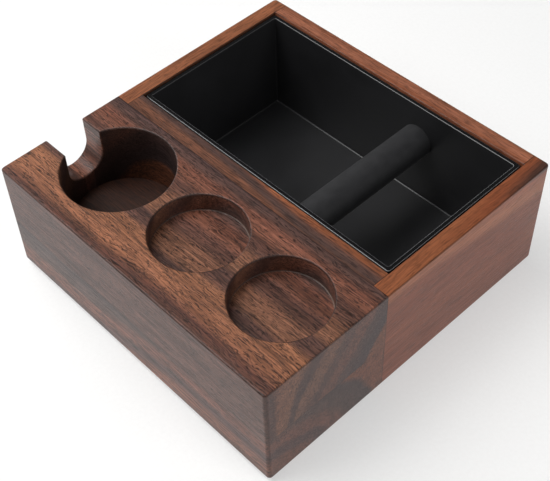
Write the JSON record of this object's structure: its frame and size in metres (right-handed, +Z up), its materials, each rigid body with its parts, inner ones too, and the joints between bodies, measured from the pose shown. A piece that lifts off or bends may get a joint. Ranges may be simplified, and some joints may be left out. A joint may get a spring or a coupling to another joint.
{
  "type": "espresso knock box with portafilter station",
  "caption": "Square wooden station: two-layer hardwood block with a notched portafilter socket and two round tamper recesses, and a framed lift-out knock bin with a padded bar.",
  "frame": {"origin": "centre of the footprint on the surface the feet stand on", "axes": "+X to the right along the block, +Y from the block to the bin, +Z up"},
  "size_m": [0.236, 0.236, 0.0875],
  "materials": {
    "dark_hardwood": "oiled acacia or walnut, sanded",
    "orange_hardwood": "oiled acacia or walnut sapwood, sanded",
    "plywood": "stained plywood panel",
    "beech": "plain beech dowel",
    "zinc_steel": "zinc plated",
    "foot_silicone": "moulded, matte",
    "black_abs": "moulded black ABS, satin gloss",
    "bar_silicone": "extruded dark grey silicone, matte",
    "stainless": "drawn stainless tube",
    "plug_steel": "turned steel",
    "bolt_steel": "stainless, low head"
  },
  "bodies": {
    "frame": {"holder_block_upper": "dark_hardwood", "holder_block_lower": "dark_hardwood", "frame_left_wall": "orange_hardwood", "frame_right_wall": "orange_hardwood", "frame_front_rail": "orange_hardwood", "frame_back_wall": "orange_hardwood", "base_panel": "plywood", "wall_to_block_dowels": "beech", "rail_to_block_dowels": "beech", "rail_end_dowels": "beech", "back_corner_dowels": "beech", "base_screws": "zinc_steel", "foot_front_left": "foot_silicone", "foot_front_right": "foot_silicone", "foot_back_left": "foot_silicone", "foot_back_right": "foot_silicone"},
    "bin": {"knock_bin": "black_abs", "bar_sleeve": "bar_silicone", "bar_tube": "stainless", "bar_plug_front": "plug_steel", "bar_plug_back": "plug_steel", "bar_screw_front": "bolt_steel", "bar_screw_back": "bolt_steel"}
  },
  "joints": [
    {"name": "bin_lift", "type": "slide", "parent": "frame", "child": "bin", "axis": [0, 0, 1], "range_m": [0, 0.09]}
  ]
}
